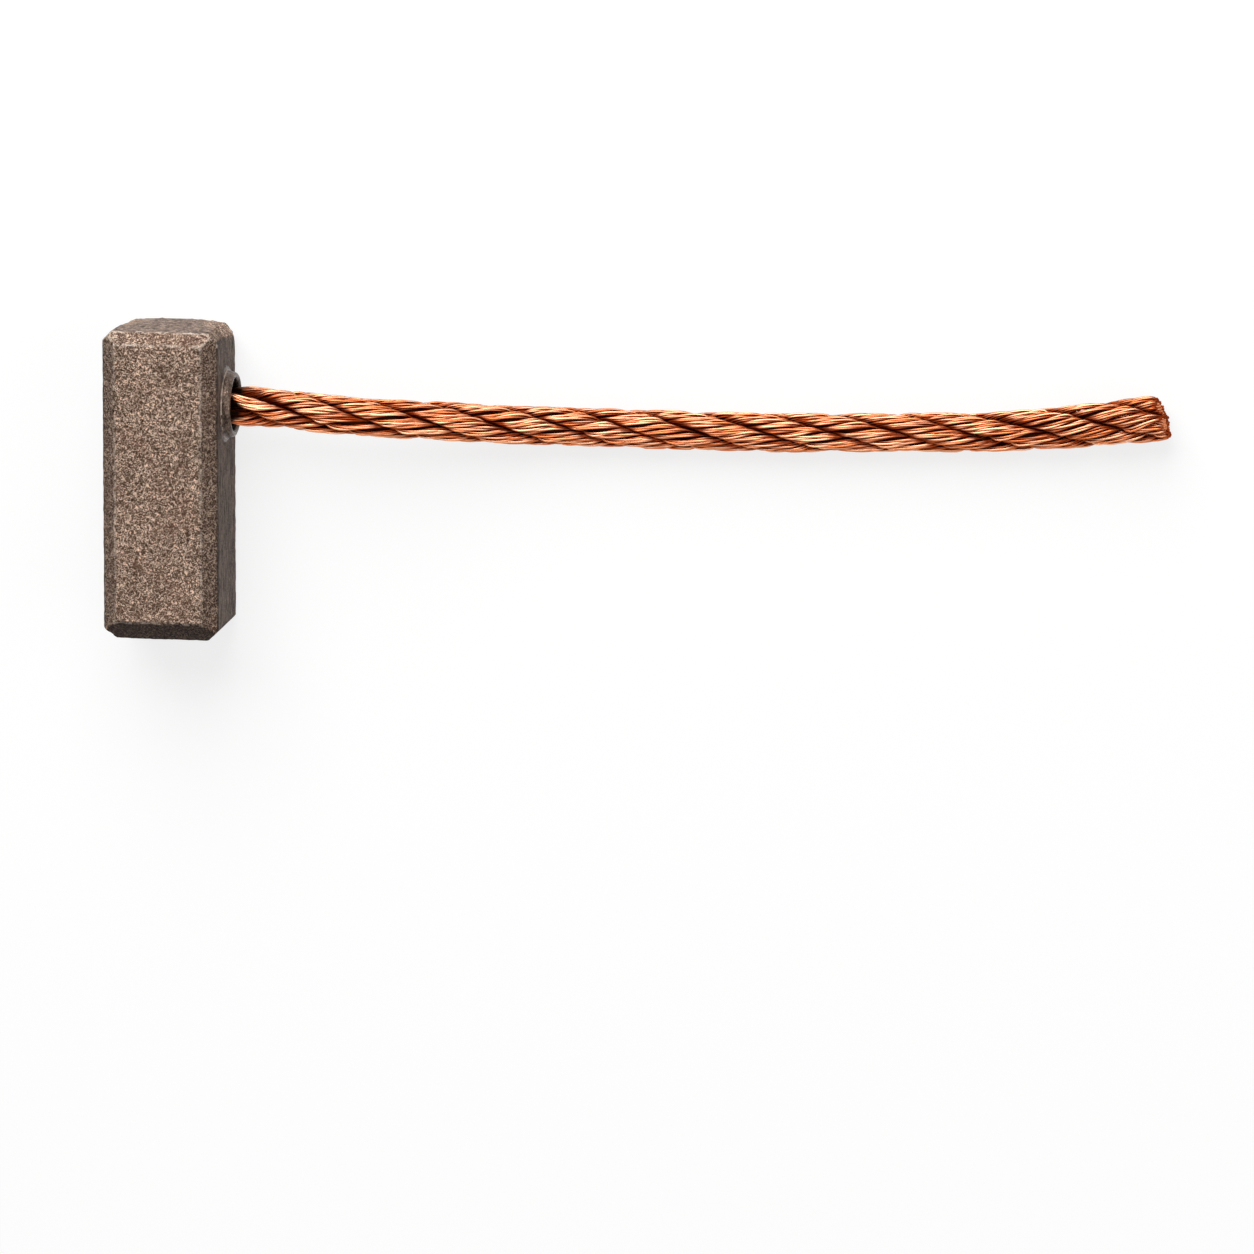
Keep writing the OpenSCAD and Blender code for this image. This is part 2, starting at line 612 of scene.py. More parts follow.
def unit(vectors: np.ndarray) -> np.ndarray:
    """Scales each vector to a length of 1."""
    return vectors / np.linalg.norm(vectors, axis=-1, keepdims=True)


# ---- The block -------------------------------------------------------------------------------


@dataclass
class BrushBlock:
    """The pressed block with the collar and the shunt hole in its side."""

    node: str = "brush_block"
    long_chamfer: float = 0.0015
    spring_chamfer: float = 0.0012
    spring_side_chamfer: float = 0.0010
    contact_chamfer: float = 0.0020
    contact_side_chamfer: float = 0.0012
    hole_from_end: float = 0.0080
    hole_radius: float = 0.0027
    hole_reach: float = 0.0105
    rim_radius: float = 0.0030
    ledge_radius: float = 0.00365
    ledge_height: float = 0.0002
    collar_foot: float = 0.0039
    collar_height: float = 0.0010
    # How close to a face or to the collar's foot a point counts as being on it
    near_face: float = 0.0003
    near_foot: float = 0.00005
    # The wear. The far corners are those of the spring end that lie near the bench
    fold: float = math.radians(25)
    edge_round: float = 0.00014
    skin: float = 0.00008
    wear_reach: float = 0.00040
    chip_depth: float = 0.00018
    chip_size: float = 0.0008
    outline_chips: float = 0.2
    collar_wear: float = 0.1
    swell_depth: float = 0.00004
    swell_size: float = 0.0012
    far_start: float = 0.0030
    far_full: float = 0.0010
    far_height: float = 0.0070
    far_full_height: float = 0.0030
    far_corner_passes: int = 200
    sag: float = 0.00060
    sag_reach: float = 0.0060
    sag_start: float = 0.0020
    sag_full: float = 0.0010
    triangle_limit: int = 180000
    # How much painted shade darkens each face as the light falls on it, from 0 to 1, how dark
    # the collar is set as a whole, and how ground the collar looks
    side_shade: float = 0.60
    long_shade: float = 0.53
    spring_side_shade: float = 0.46
    spring_shade: float = 0.0
    contact_side_shade: float = 0.50
    contact_shade: float = 0.96
    collar_shade: float = 0.72
    collar_ground: float = 0.8
    # How far from a fold each mark starts, and how far from it the mark is full. The worn
    # edges and the collar's ledge carry painted highlight, and the hole painted shade
    cut_line: tuple[float, float] = (0.00022, 0.00012)
    ground_line: tuple[float, float] = (0.00014, 0.00004)
    seam: tuple[float, float] = (0.00032, 0.00014)
    worn_highlight: tuple[float, float] = (0.00024, 0.00006)
    lit_spring_reach: float = 0.0015
    ledge_highlight: float = 0.6
    ledge_width: float = 0.00012
    bore_shade_fade: float = 0.0012

    def build(self) -> bpy.types.Object:
        """Builds the block from the CAD solid, with rounded, chipped edges.

        Returns:
            The finished piece, which stands for the CAD node.
        """
        piece = merged_copy(self.node, "pressed_block")
        folds = self._folds(piece)
        finish_with(piece, "BEVEL", width=self.edge_round, segments=3,
                    limit_method="ANGLE", angle_limit=self.fold)
        finish_with(piece, "REMESH", mode="VOXEL", voxel_size=self.skin,
                    use_smooth_shade=True)
        self._wear(piece, folds)
        count = sum(len(face.vertices) - 2 for face in piece.data.polygons)
        if count > self.triangle_limit:
            finish_with(piece, "DECIMATE", ratio=self.triangle_limit / count)
        self._mark(piece, folds)
        piece.data.materials.append(PressedCarbon().material())
        take(piece)
        bpy.ops.object.shade_smooth()
        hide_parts(self.node)
        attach(piece, ROOT)
        return piece

    def _folds(self, piece: bpy.types.Object) -> KDTree:
        """Gathers points along the block's edges.

        Args:
            piece: The block as merged flat faces.

        Returns:
            The points, ready to be searched. The collar's and the hole's edges are left out.
        """
        mesh = bmesh.new()
        mesh.from_mesh(piece.data)
        points = []
        for edge in mesh.edges:
            if edge.calc_face_angle(0.0) > self.fold:
                start, end = (corner.co for corner in edge.verts)
                steps = max(1, int((end - start).length / self.skin))
                points.extend(start.lerp(end, step / steps) for step in range(steps + 1))
        mesh.free()
        radius = self._from_hole(np.array([tuple(point) for point in points]))[0]
        kept = [point for point, away in zip(points, radius) if away > self.collar_foot]
        tree = KDTree(len(kept))
        for index, point in enumerate(kept):
            tree.insert(point, index)
        tree.balance()
        return tree

    @staticmethod
    def _from_fold(places: np.ndarray, folds: KDTree) -> np.ndarray:
        """Gives each point's distance from the nearest edge of the block."""
        return np.array([folds.find(place)[2] for place in places])

    def _from_hole(self, places: np.ndarray) -> tuple[np.ndarray, np.ndarray]:
        """Measures each point from the shunt hole.

        Args:
            places: The points, one row each.

        Returns:
            Their distances from the hole's axis, and their heights over the block's side.
        """
        low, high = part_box(self.node)
        across = places[:, 1] - (high[1] - self.hole_from_end)
        up = places[:, 2] - (low[2] + high[2]) / 2
        return np.hypot(across, up), places[:, 0] + low[0]

    def _on_collar(self, places: np.ndarray) -> np.ndarray:
        """Tells which points belong to the collar or the hole.

        Args:
            places: The points, one row each.

        Returns:
            True for each point that does.
        """
        radius, height = self._from_hole(places)
        in_hole = (radius < self.hole_radius + self.near_face) & (height > -self.hole_reach)
        on_collar = (radius < self.collar_foot) & (height > -self.near_foot)
        return in_hole | on_collar

    def _wear(self, piece: bpy.types.Object, folds: KDTree) -> None:
        """Chips the edges, softens the far corners and gives the flats a slight unevenness.

        Args:
            piece: The block, which has its fine skin.
            folds: Points along its edges.
        """
        places = points_of(piece)
        low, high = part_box(self.node)
        collar = self._on_collar(places)
        far = ease(places[:, 1], high[1] - self.far_start, high[1] - self.far_full)
        far *= ease(places[:, 2], self.far_height, self.far_full_height)
        keep_group(piece, "far", far)
        at_side = np.abs(places[:, 0]) > -low[0] - self.near_face
        outline = at_side | (places[:, 1] < low[1] + self.near_face)
        near = ease(self._from_fold(places, folds), self.wear_reach, 0.0)
        near *= np.where(outline, self.outline_chips, 1.0)
        keep_group(piece, "edges", np.where(collar, self.collar_wear, near))
        keep_group(piece, "skin", np.where(collar, self.collar_wear, 1.0))
        sagging = ease(places[:, 1], high[1] - self.sag_reach, high[1])
        sagging *= ease(places[:, 2], high[2] - self.sag_start, low[2] + self.sag_full)
        places[:, 1] -= self.sag * np.abs(places[:, 0] / low[0]) ** 3 * sagging
        piece.data.vertices.foreach_set("co", places.ravel())
        for group, passes in (("far", self.far_corner_passes), ("skin", 1)):
            finish_with(piece, "SMOOTH", factor=0.5, iterations=passes, vertex_group=group)
        for group, texture, strength, middle in (
            ("edges", clouds("chips", self.chip_size, contrast=2.6, level=1.35),
             self.chip_depth, 1.0),
            ("skin", clouds("skin", self.swell_size), self.swell_depth, 0.6),
        ):
            finish_with(piece, "DISPLACE", texture=texture, strength=strength,
                        mid_level=middle, vertex_group=group, texture_coords="LOCAL")
        places = points_of(piece)
        places[:, 2] = np.maximum(places[:, 2], low[2])
        piece.data.vertices.foreach_set("co", places.ravel())

    def _painted_shade(self, places: np.ndarray) -> np.ndarray:
        """Gives each point's painted shade: how much its face is darkened as the light falls on it.

        Args:
            places: The points, one row each.

        Returns:
            Their shades, from 0 where the face is bright to 1 where it is darkest.
        """
        low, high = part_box(self.node)
        half_height = (high[2] - low[2]) / 2
        across, along = np.abs(places[:, 0]), places[:, 1]
        up = np.abs(places[:, 2] - low[2] - half_height)
        shade = np.zeros(len(places))
        for reach, corner, cut, value in (
            (across, -low[0], 0.0, self.side_shade),
            (across + up, -low[0] + half_height, self.long_chamfer, self.long_shade),
            (across + along, -low[0] + high[1], self.spring_side_chamfer, self.spring_side_shade),
            (up + along, half_height + high[1], self.spring_chamfer, self.spring_shade),
            (across - along, -low[0] - low[1], self.contact_side_chamfer, self.contact_side_shade),
            (up - along, half_height - low[1], self.contact_chamfer, self.contact_shade),
        ):
            on_cut = ease(reach, corner - cut - self.cut_line[0], corner - cut - self.cut_line[1])
            shade = shade * (1 - on_cut) + value * on_cut
        return shade

    def _mark(self, piece: bpy.types.Object, folds: KDTree) -> None:
        """Keeps, at each point, which finish it has, with its painted shade and painted highlight.

        Args:
            piece: The worn block.
            folds: Points along its edges.
        """
        places = points_of(piece)
        low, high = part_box(self.node)
        radius, height = self._from_hole(places)
        collar = self._on_collar(places)
        inward = np.min([
            -low[0] - np.abs(places[:, 0]), high[1] - places[:, 1], places[:, 1] - low[1],
        ], axis=0)
        ground = ease(inward, *self.ground_line)
        ground[collar] = self.collar_ground
        away = self._from_fold(places, folds)
        sides = np.abs(places[:, 0]) > -low[0] - self.cut_line[0]
        top = places[:, 2] > high[2] - self.near_face
        spring = (places[:, 1:] > np.array(high[1:]) - self.lit_spring_reach).all(axis=1)
        # Worn edges with painted highlight: full where the spring end meets the front, half along
        # the rest of the front, none elsewhere.
        worn_highlight = ease(away, *self.worn_highlight) * np.where(spring, 1.0, np.where(top, 0.5, 0.0))
        # A painted highlight line along the collar's ledge.
        painted_ledge_line = ease(np.abs(radius - self.ledge_radius), self.ledge_width, 0.0)
        painted_ledge_line *= ease(height, 0.4 * self.ledge_height, 0.9 * self.ledge_height)
        # Painted shade inside the hole, darker deeper in.
        bore = collar & (radius < self.rim_radius) & (height < self.collar_height)
        depth = ease(height, self.collar_height, self.collar_height - self.bore_shade_fade)
        # shade holds each face's painted shade, and one darker tone for the whole collar.
        for name, values in (
            ("shade", np.where(collar, self.collar_shade, self._painted_shade(places))),
            ("ground", ground),
            ("seam", np.where(collar, 0.0, ease(away, *self.seam) * sides)),
            ("bright", np.where(collar, self.ledge_highlight * painted_ledge_line, worn_highlight)),
            ("polish", np.where(collar, 1.0, 0.0)),
            ("bore", np.where(bore, depth, 0.0)),
        ):
            keep_value(piece, name, values)


@dataclass
class TampingPlug:
    """The rammed powder that holds the shunt. Its solid shows as it is."""

    node: str = "tamping_plug"

    def build(self) -> bpy.types.Object:
        """Gives the plug's solid its finish.

        Returns:
            The plug's own piece.
        """
        piece = frame["nodes"][self.node]
        material = RammedPowder().material()
        for slot in piece.material_slots:
            slot.material = material
        return piece


# ---- The shunt -------------------------------------------------------------------------------


class Lay(Enum):
    """Which way wires turn as they run away from the block."""

    RIGHT = 1
    LEFT = -1


@dataclass
class Route:
    """The shunt's centre line, from its root in the plug to its cut end."""

    side: float = 0.006
    hole_y: float = 0.008
    hole_z: float = 0.006
    root_depth: float = 0.00718
    radius: float = 0.00195
    # Distance from the block's side, offset from the hole's axis along Y, share of the drop left
    points: tuple[tuple[float, float, float], ...] = (
        (-0.001, 0.0, 1.0),
        (0.001, 0.0, 1.0),
        (0.005, -0.0002, 1.0),
        (0.010, -0.0007, 0.96),
        (0.016, -0.0011, 0.80),
        (0.022, -0.0014, 0.55),
        (0.028, -0.0017, 0.30),
        (0.034, -0.0018, 0.11),
        (0.040, -0.0019, 0.02),
        (0.046, -0.0019, 0.0),
        (0.052, -0.0019, 0.0),
        (0.058, -0.0018, 0.0),
        (0.064, -0.0016, 0.0),
        (0.070, -0.0014, 0.0),
        (0.076, -0.0012, 0.0),
        (0.082, -0.0008, 0.0),
        (0.088, -0.0003, 0.02),
        (0.092, 0.0002, 0.04),
        (0.0957, 0.0007, 0.06),
    )
    samples_between: int = 24

    def __post_init__(self) -> None:
        """Works out the smooth line once."""
        line = self._smooth(np.array(self.centres()))
        steps = np.linalg.norm(np.diff(line, axis=0), axis=1)
        self._line = line
        self._along = np.concatenate([[0.0], np.cumsum(steps)])
        self._ahead = unit(np.gradient(line, self._along, axis=0))
        self.length = float(self._along[-1])

    def centres(self) -> list[tuple[float, float, float]]:
        """Gives the route's own points.

        Returns:
            The points, from the root to the cut end.
        """
        root = (self.side - self.root_depth, self.hole_y, self.hole_z)
        drop = self.hole_z - self.radius
        return [root] + [
            (self.side + out, self.hole_y + across, self.radius + left * drop)
            for out, across, left in self.points
        ]

    def _smooth(self, knots: np.ndarray) -> np.ndarray:
        """Runs a smooth curve through the knots.

        Args:
            knots: The points that it passes, one row each.

        Returns:
            The points of the curve.
        """
        slopes = np.gradient(knots, np.linalg.norm(knots - knots[0], axis=1), axis=0)
        share = np.linspace(0, 1, self.samples_between, endpoint=False)[:, None]
        pieces = []
        for here, there, slope, next_slope in zip(knots, knots[1:], slopes, slopes[1:]):
            span = np.linalg.norm(there - here)
            pieces.append(
                (2 * share**3 - 3 * share**2 + 1) * here
                + (share**3 - 2 * share**2 + share) * span * slope
                + (3 * share**2 - 2 * share**3) * there
                + (share**3 - share**2) * span * next_slope
            )
        return np.concatenate(pieces + [knots[-1:]])

    def at(self, along: np.ndarray) -> tuple[np.ndarray, np.ndarray, np.ndarray]:
        """Gives the line's place and its cross directions at some lengths along it or past it.

        Args:
            along: Lengths from the root.

        Returns:
            The places, the level directions across the line, and the upward ones.
        """
        place, ahead = (
            np.stack([np.interp(along, self._along, values[:, k]) for k in range(3)], -1)
            for values in (self._line, self._ahead)
        )
        ahead = unit(ahead)
        place = place + np.maximum(along - self.length, 0.0)[..., None] * ahead
        across = unit(np.cross(np.broadcast_to((0.0, 0.0, 1.0), ahead.shape), ahead))
        return place, across, np.cross(ahead, across)


@dataclass(frozen=True)
class LaidWires:
    """One strand's wires as they are laid, with a row for each wire and a column for each ring.

    Attributes:
        lines: The wires' centre lines.
        centres: The shunt's own centre beside each ring.
        rim: How far from that centre the strand's edge is.
        sunk: How dark each ring is made: painted shade in the strands' groove, and darker at the
            cut.
        dust: How much painted black shade is on it where it goes into the block's mouth.
    """

    lines: np.ndarray
    centres: np.ndarray
    rim: np.ndarray
    sunk: np.ndarray
    dust: np.ndarray


@dataclass
class Shunt:
    """The copper shunt: strands laid round each other, each of twisted bunches of wires."""

    route: Route
    node: str = "shunt"
    radius: float = 0.00195
    crown_radius: float = 0.00201
    strands: int = 4
    bunches: int = 11
    wires: int = 3
    rope_pitch: float = 0.0277
    rope_lay: Lay = Lay.RIGHT
    rope_start: float = 0.6
    strand_radius: float = 0.00112
    strand_pitch: float = 0.0100
    strand_lay: Lay = Lay.LEFT
    bunch_pitch: float = 0.007
    bunch_lay: Lay = Lay.RIGHT
    wire_radius: float = 0.000115
    wire_sides: int = 6
    ring_step: float = 0.00045
    # What fills the strands
    heart_radius: float = 0.00052
    heart_sides: int = 10
    heart_short: float = 0.0012
    core_pitch: float = 0.00024
    core_length: float = 0.0050
    filling_step: float = 0.0009
    # How loosely the wires lie, and how hard the strands are pressed together
    loose: float = 0.00005
    turn_loose: float = 0.15
    strand_offset: float = 1.1
    bunch_turn_reach: float = 0.007
    bunch_reach: float = 0.005
    wire_turn_reach: float = 0.004
    wire_reach: float = 0.003
    pressed: float = 0.8
    press_sharpness: int = 5
    least_out: float = 0.00008
    wall_play: float = 0.00003
    # The spread at the cut end, and the pinch in the hole
    flare: float = 0.19
    flare_length: float = 0.021
    flare_shift: float = 0.00035
    lift: float = 0.00010
    flare_lift: float = 0.00030
    pinch: float = 0.40
    pinch_length: float = 0.009
    mouth_flare: float = 0.07
    mouth_shift: float = 0.00012
    ragged: float = 0.00012
    end_dome: float = 0.0005
    end_slant: float = 0.00045
    end_reach: float = 0.00045
    # The painted black shade where the wires go into the mouth; the tarnish and painted shade
    # that darken the wires between the crowns and in the groove; and their darkening near the cut
    mouth_shade_start: float = 0.0006
    mouth_shade_length: float = 0.0048
    mouth_shade_fade: float = 0.0006
    crown: float = 0.00004
    pit: float = 0.00028
    groove: tuple[float, float] = (math.radians(41.5), math.radians(44.8))
    groove_shade: float = 0.8
    cut_depth: float = 0.0003
    cut_darkening: float = 0.7

    def _wander(
        self, rng: np.random.Generator, rows: int, along: np.ndarray, reach: float
    ) -> np.ndarray:
        """Makes smooth random offsets along the shunt.

        Args:
            rng: The source of the random numbers.
            rows: How many independent curves.
            along: Lengths from the root.
            reach: The length over which an offset changes.

        Returns:
            The offsets, one row for each curve, with a spread of about 1.
        """
        knots = rng.normal(0, 1, (rows, int(self.route.length / reach) + 3))
        place = along / reach
        index = np.floor(place).astype(int)
        share = ease(place - index, 0.0, 1.0)
        return knots[:, index] * (1 - share) + knots[:, index + 1] * share

    def _packed(self, out: np.ndarray, across: np.ndarray) -> tuple[np.ndarray, np.ndarray]:
        """Presses a strand's wires against the flat faces between it and its neighbours.

        Args:
            out: Distances out from the shunt's axis along the strand's own radius.
            across: Distances across that radius.

        Returns:
            The pressed distances.
        """
        half_angle = math.pi / self.strands
        clear = self.wire_radius / math.sin(half_angle)
        out = np.maximum(out, clear + self.least_out)
        wall = (out - clear) * math.tan(half_angle) + self.wall_play
        sharp = self.press_sharpness
        return out, across / (1 + np.abs(across / wall) ** sharp) ** (1 / sharp)

    def _lay(
        self,
        strand: int,
        out: np.ndarray,
        across: np.ndarray,
        along: np.ndarray,
        ragged: np.ndarray,
    ) -> tuple[np.ndarray, np.ndarray, np.ndarray]:
        """Lays one strand's wires round the route.

        Args:
            strand: The strand's number.
            out: Distances out from the shunt's axis along the strand's own radius, with a row
                for each wire and a column for each ring.
            across: Distances across that radius.
            along: Each ring's length from the root.
            ragged: How much shorter each wire is cut.

        Returns:
            The wires' lines, the shunt's own centres beside them, and how far the shunt is spread
            at each ring.
        """
        length, start = self.route.length, self.route.root_depth
        opened = ease(along, start + self.pinch_length, start)
        flared = ease(along, length - self.flare_length, length)
        spread = 1 + self.flare * flared + self.mouth_flare * opened
        shifted = self.flare_shift * flared - self.mouth_shift * opened
        raised = self.lift + self.flare_lift * flared
        angle = TURN * strand / self.strands + self.rope_start
        angle = angle + self.rope_lay.value * TURN * along / self.rope_pitch
        level = spread * (out * np.cos(angle) - across * np.sin(angle)) + shifted
        upward = spread * (out * np.sin(angle) + across * np.cos(angle)) + raised
        trim = ragged + self.end_dome * (np.hypot(out, across)[:, -1:] / self.crown_radius) ** 4
        trim = trim + self.end_slant * level[:, -1:] / self.crown_radius - self.end_reach
        place, side, up = self.route.at(along * (1 - trim / length))
        lines = place + level[..., None] * side + upward[..., None] * up
        centres = place + shifted[:, None] * side + raised[:, None] * up
        return lines, centres, spread

    def _wire_lines(self, strand: int, rng: np.random.Generator) -> LaidWires:
        """Works out the centre lines of one strand's wires.

        Args:
            strand: The strand's number.
            rng: The source of the random numbers.

        Returns:
            The laid wires.
        """
        length = self.route.length
        rings = int(length / self.ring_step)
        along = np.linspace(0, length, rings)
        count = self.bunches * self.wires
        exit_at = self.route.root_depth
        past = np.clip((along - exit_at) / self.pinch_length, 0, 1)
        twisted = np.where(past < 1, exit_at + self.pinch_length * past * past * (2 - past), along)
        bite = math.sin(math.pi / self.bunches)
        strand_radius = self.strand_radius
        bunch_radius = strand_radius * bite / (1 + bite)
        bunch_out = strand_radius - bunch_radius
        strand_out = self.crown_radius - strand_radius

        bunch_turn = (
            TURN * np.arange(self.bunches)[:, None] / self.bunches
            + self.strand_lay.value * TURN * twisted / self.strand_pitch
            + self.turn_loose * self._wander(rng, self.bunches, along, self.bunch_turn_reach)
            + strand * self.strand_offset
        )
        bunch_shift = self.loose * self._wander(rng, self.bunches, along, self.bunch_reach)
        bunch_place = bunch_out + bunch_shift
        bunch_turn = np.repeat(bunch_turn, self.wires, axis=0)
        bunch_place = np.repeat(bunch_place, self.wires, axis=0)

        wire_turn = bunch_turn + (
            TURN * np.tile(np.arange(self.wires), self.bunches)[:, None] / self.wires
            + self.bunch_lay.value * TURN * along / self.bunch_pitch
            + 1.5 * self.turn_loose * self._wander(rng, count, along, self.wire_turn_reach)
        )
        wire_shift = 0.5 * self.loose * self._wander(rng, count, along, self.wire_reach)
        wire_out = bunch_radius - self.wire_radius + wire_shift

        out = strand_out + bunch_place * np.cos(bunch_turn) + wire_out * np.cos(wire_turn)
        across = bunch_place * np.sin(bunch_turn) + wire_out * np.sin(wire_turn)
        out, across = self._packed(out, across)
        opened = ease(along, exit_at + self.pinch_length, exit_at)
        aside = np.abs(np.arctan2(across, out))
        half_chord = np.sqrt(strand_radius**2 - (strand_out * np.sin(aside)) ** 2)
        edge = strand_out * np.cos(aside) + half_chord
        under_rim = np.hypot(out, across) / edge
        across = across * (1 - self.pinch * opened)
        reach = np.hypot(out, across)
        swell = (self.crown_radius / edge) ** (self.pressed * (1 - opened))
        limit = self.crown_radius - self.wire_radius
        held = np.minimum(reach * swell, limit + self.wall_play) / reach
        out, across = out * held, across * held

        # Painted shade in the groove between the strands; the wires also darken near the cut.
        sunk = self.groove_shade * ease(aside, *self.groove)
        cut = self.cut_darkening * ease(along, length - self.cut_depth, length)
        sunk = np.maximum(sunk, cut)
        # Painted black shade at the mouth, reaching further out on the wires at the strand's
        # flanks.
        flank_shade_extra = self.mouth_shade_length * (across / self.strand_radius) ** 2
        dust = ease(along - (exit_at + self.mouth_shade_start + flank_shade_extra), self.mouth_shade_fade, 0.0)

        ragged = rng.normal(0, self.ragged, (count, 1)).clip(-self.ragged, self.ragged)
        lines, centres, spread = self._lay(strand, out, across, along, ragged)
        return LaidWires(lines, centres, reach / under_rim * swell * spread, sunk, dust)

    def _tubes(self, name: str, lines: np.ndarray, radius: float, sides: int) -> bpy.types.Object:
        """Makes a closed round tube along each line.

        Args:
            name: The piece's name.
            lines: The centre lines, as tubes by rings by 3.
            radius: The tubes' radius.
            sides: How many sides each has.

        Returns:
            The piece, which has all the tubes.
        """
        tubes, rings = lines.shape[:2]
        ahead = unit(np.gradient(lines, axis=1))
        level = unit(np.cross(np.broadcast_to((0.0, 0.0, 1.0), ahead.shape), ahead))
        upward = np.cross(ahead, level)
        angle = TURN * np.arange(sides) / sides
        walls = lines[:, :, None] + radius * (
            np.cos(angle)[:, None] * level[:, :, None] + np.sin(angle)[:, None] * upward[:, :, None]
        )
        tips = np.stack([
            lines[:, 0] - 0.5 * radius * ahead[:, 0],
            lines[:, -1] + 0.5 * radius * ahead[:, -1],
        ], axis=1)
        points = np.concatenate([walls.reshape(tubes, -1, 3), tips], axis=1)
        start = np.arange(rings - 1)[:, None] * sides
        here = np.arange(sides)[None, :]
        beside = (here + 1) % sides
        quads = np.stack([
            start + here, start + beside, start + sides + beside, start + sides + here,
        ], axis=-1).reshape(-1, 4)
        last = (rings - 1) * sides
        first_tip, last_tip = rings * sides, rings * sides + 1
        faces: list[tuple[int, ...]] = []
        for tube in range(tubes):
            base = tube * points.shape[1]
            faces.extend(map(tuple, (quads + base).tolist()))
            for one in range(sides):
                two = (one + 1) % sides
                faces.append((base + first_tip, base + two, base + one))
                faces.append((base + last_tip, base + last + one, base + last + two))
        mesh = bpy.data.meshes.new(name)
        mesh.from_pydata(points.reshape(-1, 3).tolist(), [], faces)
        mesh.shade_smooth()
        piece = bpy.data.objects.new(name, mesh)
        bpy.context.scene.collection.objects.link(piece)
        return piece

    def _per_point(self, values: np.ndarray) -> np.ndarray:
        """Repeats each ring's values for the points of its tube, and the end rings' for the tips.

        Args:
            values: The values, with a row for each wire and a column for each ring.

        Returns:
            The values, with a column for each point.
        """
        walls = np.repeat(values, self.wire_sides, axis=1)
        return np.concatenate([walls, values[:, :1], values[:, -1:]], axis=1)

    def _strand(self, strand: int, copper: bpy.types.Material) -> bpy.types.Object:
        """Builds one strand of the shunt.

        Args:
            strand: The strand's number.
            copper: The wires' material.

        Returns:
            The strand's piece.
        """
        rng = np.random.default_rng(SEED + strand)
        laid = self._wire_lines(strand, rng)
        name = f"shunt_strand_{strand + 1}"
        piece = self._tubes(name, laid.lines, self.wire_radius, self.wire_sides)
        tubes = len(laid.lines)
        places = points_of(piece).reshape(tubes, -1, 3)
        reach = np.linalg.norm(places - self._per_point(laid.centres), axis=-1)
        # Tarnish and painted shade: the deeper a point lies below the strand's crowns, the darker.
        depth = ease(self._per_point(laid.rim) - reach, self.crown, self.pit)
        depth = np.maximum(depth, self._per_point(laid.sunk))
        tone = rng.uniform(0, 1, (tubes, 1))
        keep_value(piece, "tone", np.repeat(tone, depth.shape[1], axis=1))
        keep_value(piece, "depth", depth)
        keep_value(piece, "dust", self._per_point(laid.dust))
        piece.data.materials.append(copper)
        return piece

    def _filling(self, copper: bpy.types.Material) -> list[bpy.types.Object]:
        """Builds what fills the strands: a heart painted near black as the shade between them,
        and the wire ends that show at the cut.

        Args:
            copper: The wires' material.

        Returns:
            The two pieces.
        """
        length = self.route.length
        middle = self.crown_radius - self.strand_radius
        packed = [(0.0, 0.0)]
        for ring in (1, 2):
            reach = ring * self.core_pitch
            for step in range(6 * ring):
                turn = TURN * step / (6 * ring)
                packed.append((reach * math.cos(turn), reach * math.sin(turn)))
        rng = np.random.default_rng(SEED + self.strands)
        pieces = []
        # The heart is painted near black as shade: full depth and much dust. The core's wire ends
        # get some painted shade.
        for name, offsets, radius, sides, start, end, values in (
            ("shunt_heart", packed[:1], self.heart_radius, self.heart_sides,
             0.0, length - self.heart_short, (0.0, 1.0, 0.8)),
            ("shunt_core", packed, self.wire_radius, self.wire_sides,
             length - self.core_length, length, (0.4, 0.35, 0.0)),
        ):
            along = np.linspace(start, end, int((end - start) / self.filling_step) + 2)
            out = middle + np.array(offsets)[:, :1] + 0 * along
            across = np.array(offsets)[:, 1:] + 0 * along
            ragged = rng.uniform(0, self.ragged, (len(offsets), 1))
            lines = [
                self._lay(strand, out, across, along, ragged)[0]
                for strand in range(self.strands)
            ]
            piece = self._tubes(name, np.concatenate(lines), radius, sides)
            for kept, value in zip(("tone", "depth", "dust"), values):
                keep_value(piece, kept, np.full(len(piece.data.vertices), value))
            piece.data.materials.append(copper)
            pieces.append(piece)
        return pieces

    def build(self) -> list[bpy.types.Object]:
        """Returns:
            The shunt's pieces: the strands, then the heart and the core.
        """
        copper = CopperWire().material()
        pieces = [self._strand(strand, copper) for strand in range(self.strands)]
        pieces += self._filling(copper)
        for piece in pieces:
            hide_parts(self.node)
            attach(piece, ROOT)
        self.route.centres()
        return pieces


# ---- Studio ----------------------------------------------------------------------------------


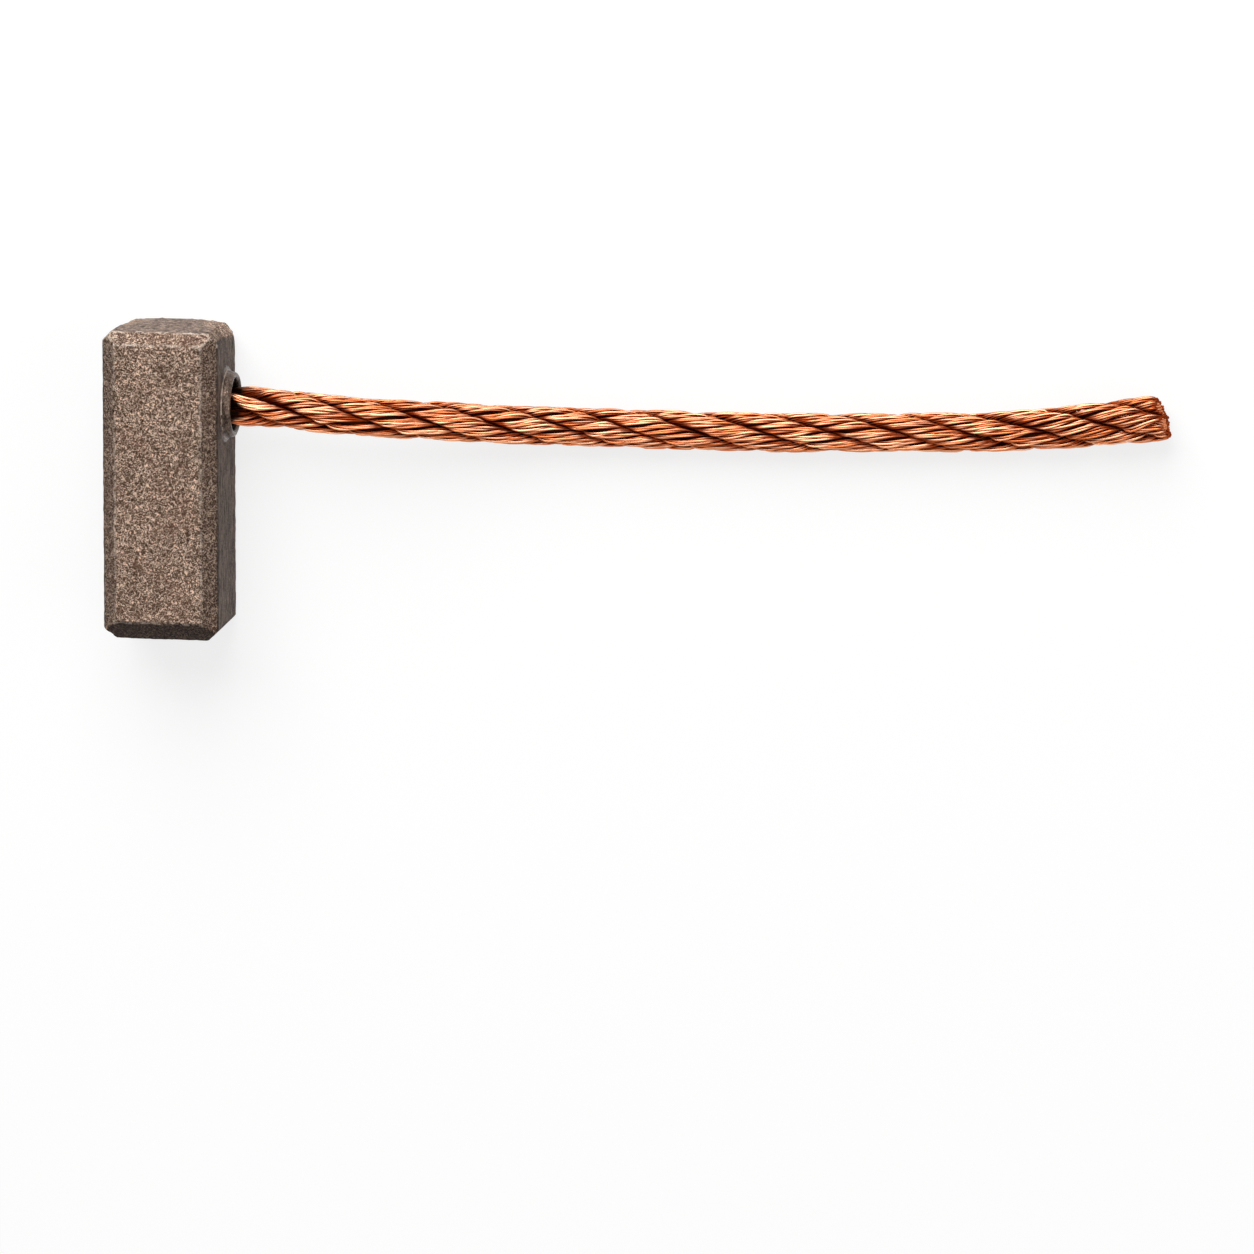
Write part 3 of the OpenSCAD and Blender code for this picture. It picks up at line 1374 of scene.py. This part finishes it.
@dataclass
class Studio:
    """The floor, the lights and the camera."""

    lean_right: float = 8.942
    lean_up: float = 11.071
    roll: float = 0.28
    distance: float = 0.9257
    shift_right: float = 0.046070
    shift_up: float = -0.016090
    lens: float = 257.4
    lamp_distance: float = 0.7
    lamp_size: float = 0.70
    key_direction: tuple[float, float, float] = (-0.15, 1.20, 1.0)
    key_level: float = 0.76
    fill_direction: tuple[float, float, float] = (0.9, 0.0, 0.45)
    fill_level: float = 0.075
    ambient: float = 0.22
    paper: float = 0.93
    glow_share: float = 0.72
    glow: float = 1.08
    floor_size: float = 4.0

    def camera(self) -> None:
        """Places the camera over the brush, leaning towards the shunt and the spring end."""
        right, up = math.radians(self.lean_right), math.radians(self.lean_up)
        level_share = math.cos(up)
        back = Vector((math.sin(right) * level_share, math.sin(up), math.cos(right) * level_share))
        across = Vector((0, 1, 0)).cross(back).normalized()
        above = back.cross(across)
        turn = math.radians(self.roll)
        level = math.cos(turn) * across + math.sin(turn) * above
        upward = math.cos(turn) * above - math.sin(turn) * across
        place = self.shift_right * across + self.shift_up * above + self.distance * back
        data = bpy.data.cameras.new("camera")
        data.lens = self.lens
        data.clip_end = 10.0
        camera = bpy.data.objects.new("camera", data)
        turned = Matrix((level, upward, back)).transposed().to_4x4()
        camera.matrix_world = Matrix.Translation(place) @ turned
        bpy.context.scene.collection.objects.link(camera)
        bpy.context.scene.camera = camera

    def _seen(self, shader: Shader) -> Signal:
        """Gives 1 for the rays that show the background: the camera's and those in metal.

        Args:
            shader: The floor's shader or the room's.

        Returns:
            1 for those rays, and 0 for all others.
        """
        direct, mirrored, through = (
            shader.node("LightPath", output=f"Is {kind} Ray")
            for kind in ("Camera", "Glossy", "Transmission")
        )
        return direct.most(mirrored).most(through)

    def floor(self) -> None:
        """Lays the pale floor."""
        bpy.ops.object.select_all(action="DESELECT")
        bpy.ops.mesh.primitive_plane_add(size=self.floor_size, location=(0.0, 0.0, 0.0))
        piece = bpy.context.object
        piece.name = "floor"
        shader = Shader.of("pale_floor")
        grey = (self.paper, self.paper, self.paper, 1.0)
        paper = shader.node("BsdfDiffuse", None, {"Color": grey})
        glow = shader.node("Emission", None, {"Color": WHITE, "Strength": self.glow})
        glowing = self._seen(shader) * self.glow_share
        mixed = shader.node("MixShader", None, {0: glowing, 1: paper, 2: glow})
        shader.node("OutputMaterial", None, {"Surface": mixed})
        piece.data.materials.append(shader.owner)

    def room(self) -> None:
        """Lights the room evenly, and shows it white."""
        world = bpy.data.worlds.new("room")
        shader = Shader(world)
        white = shader.node("Background", None, {"Color": WHITE, "Strength": 1.0})
        even = shader.node("Background", None, {"Color": WHITE, "Strength": self.ambient})
        mixed = shader.node("MixShader", None, {0: self._seen(shader), 1: even, 2: white})
        shader.node("OutputWorld", None, {"Surface": mixed})
        bpy.context.scene.world = world

    def lamp(self, name: str, direction: tuple[float, float, float], level: float) -> None:
        """Hangs one round soft lamp that faces the brush.

        Args:
            name: The lamp's name.
            direction: The way from the brush to the lamp.
            level: The light that it throws on level ground, as a white sheet shows it.
        """
        towards = Vector(direction).normalized()
        data = bpy.data.lights.new(name, "AREA")
        data.shape = "DISK"
        data.size = self.lamp_size
        data.energy = level * math.pi**2 * self.lamp_distance**2 / towards.z
        lamp = bpy.data.objects.new(name, data)
        lamp.location = towards * self.lamp_distance
        lamp.rotation_euler = towards.to_track_quat("Z", "Y").to_euler()
        bpy.context.scene.collection.objects.link(lamp)

    def build(self) -> None:
        """Sets up the whole studio."""
        self.camera()
        self.floor()
        self.room()
        self.lamp("key", self.key_direction, self.key_level)
        self.lamp("fill", self.fill_direction, self.fill_level)
        bpy.context.scene.view_settings.view_transform = "Standard"


def main() -> None:
    """Builds the brush and its studio in order, and reports each piece."""
    logging.basicConfig(level=logging.INFO, format="%(message)s")
    Studio().build()
    for piece in (*Shunt(Route()).build(), BrushBlock().build(), TampingPlug().build()):
        LOG.info("%s: %d faces", piece.name, len(piece.data.polygons))


if __name__ == "__main__":
    main()
